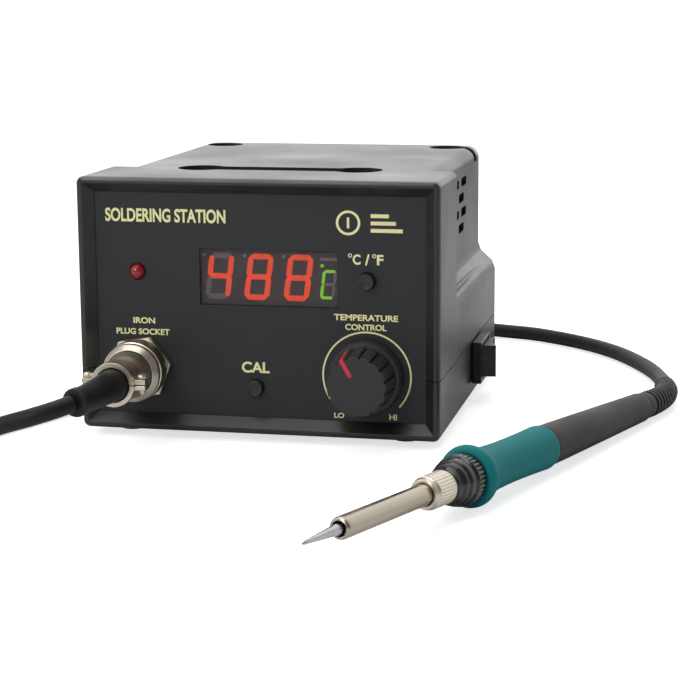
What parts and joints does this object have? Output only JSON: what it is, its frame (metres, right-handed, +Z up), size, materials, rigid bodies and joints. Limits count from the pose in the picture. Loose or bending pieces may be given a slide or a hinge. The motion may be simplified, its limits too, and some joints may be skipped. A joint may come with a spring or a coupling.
{
  "type": "soldering iron station",
  "caption": "Temperature-controlled soldering station in a stepped black case with digital display, dial, socketed plug and an iron lying beside it on its cord.",
  "frame": {"origin": "middle of the footprint of the station and its iron, on the surface they stand on", "axes": "+Z up, -Y the way the front panel faces, +X to the right of somebody facing it"},
  "size_m": [0.2236, 0.3567, 0.0845],
  "materials": {
    "shell_plastic": "satin, fine moulded texture",
    "panel_plastic": "matte film",
    "window_plastic": "smoked, clear gloss",
    "display_plastic": "matte",
    "led_lens": "clear red",
    "button_plastic": "satin",
    "knob_plastic": "matte, fine grain",
    "pointer_red": "paint fill",
    "foot_rubber": "matte",
    "black_steel": "blackened",
    "circuit_board": "solder mask",
    "plain_steel": "zinc plated",
    "nickel_plate": "bright nickel",
    "bakelite": "moulded",
    "boot_rubber": "satin",
    "laminated_steel": "varnished laminations",
    "copper_wire": "enamelled wire under tape",
    "capacitor_sleeve": "shrink sleeve",
    "bare_aluminium": "extruded",
    "inlet_plastic": "semi gloss",
    "tinned_tip": "tinned",
    "ceramic": "fired",
    "collar_plastic": "glossy phenolic",
    "grip_rubber": "satin silicone",
    "handle_plastic": "satin",
    "cord_rubber": "satin silicone jacket"
  },
  "bodies": {
    "root": {"upper_shell": "shell_plastic", "lower_shell": "shell_plastic", "foot_front_left": "foot_rubber", "foot_front_right": "foot_rubber", "foot_rear_left": "foot_rubber", "foot_rear_right": "foot_rubber", "case_screw_front_left": "black_steel", "case_screw_front_right": "black_steel", "case_screw_rear_left": "black_steel", "case_screw_rear_right": "black_steel", "front_panel": "panel_plastic", "rear_panel": "panel_plastic", "display_window": "window_plastic", "display_module": "display_plastic", "control_board": "circuit_board", "main_board": "circuit_board", "power_led": "led_lens", "potentiometer": "plain_steel", "panel_socket": "nickel_plate", "socket_nut": "nickel_plate", "socket_insert": "bakelite", "plug_shell": "nickel_plate", "cable_clamp_upper": "nickel_plate", "cable_clamp_lower": "nickel_plate", "clamp_screw_left": "nickel_plate", "clamp_screw_right": "nickel_plate", "plug_boot": "boot_rubber", "transformer_core": "laminated_steel", "transformer_winding": "copper_wire", "transformer_bracket": "plain_steel", "smoothing_capacitor": "capacitor_sleeve", "heat_sink": "bare_aluminium", "triac": "button_plastic", "mains_inlet": "inlet_plastic", "inlet_pin_live": "nickel_plate", "inlet_pin_neutral": "nickel_plate", "inlet_pin_earth": "nickel_plate", "inlet_screw_left": "nickel_plate", "inlet_screw_right": "nickel_plate", "switch_body": "inlet_plastic", "cord_plug_side": "cord_rubber", "cord_coil": "cord_rubber", "cord_iron_side": "cord_rubber", "cord_tie": "boot_rubber"},
    "knob": {"temperature_knob": "knob_plastic", "knob_pointer": "pointer_red", "potentiometer_shaft": "plain_steel"},
    "unit_button": {"unit_button": "button_plastic"},
    "calibration_button": {"calibration_button": "button_plastic"},
    "power_rocker": {"power_rocker": "inlet_plastic"},
    "coupling_ring": {"coupling_ring": "nickel_plate"},
    "fuse_drawer": {"fuse_drawer": "inlet_plastic"},
    "iron": {"iron_tip": "tinned_tip", "heater": "ceramic", "iron_pipe": "nickel_plate", "iron_collar": "collar_plastic", "grip": "grip_rubber", "handle_tube": "handle_plastic", "strain_relief": "boot_rubber"},
    "iron_nut": {"iron_nut": "nickel_plate"}
  },
  "joints": [
    {"name": "knob_turn", "type": "hinge", "parent": "root", "child": "knob", "pos_m": [0.0002, 0.0014, 0.0222], "axis": [0, 1, 0], "range_deg": [-120, 180]},
    {"name": "unit_press", "type": "slide", "parent": "root", "child": "unit_button", "axis": [0, 1, 0], "range_m": [0, 0.001], "stiffness_N_per_m": 600, "springref_m": -0.0008},
    {"name": "calibration_press", "type": "slide", "parent": "root", "child": "calibration_button", "axis": [0, 1, 0], "range_m": [0, 0.001], "stiffness_N_per_m": 600, "springref_m": -0.0008},
    {"name": "rocker_throw", "type": "hinge", "parent": "root", "child": "power_rocker", "pos_m": [0.0227, 0.0839, 0.0147], "axis": [0, 0, 1], "range_deg": [-18, 0]},
    {"name": "coupling_ring_turn", "type": "hinge", "parent": "root", "child": "coupling_ring", "pos_m": [-0.0745, 0.0024, 0.0226], "axis": [0, 1, 0], "continuous": true},
    {"name": "fuse_drawer_slide", "type": "slide", "parent": "root", "child": "fuse_drawer", "axis": [0, 1, 0], "range_m": [0, 0.014]},
    {"name": "iron_lift", "type": "slide", "parent": "root", "child": "iron", "axis": [0, 0, 1], "range_m": [0, 0.06]},
    {"name": "iron_nut_turn", "type": "hinge", "parent": "iron", "child": "iron_nut", "pos_m": [0.0358, -0.07497, 0.00966], "axis": [0.3382, 0.9405, -0.032], "continuous": true}
  ]
}
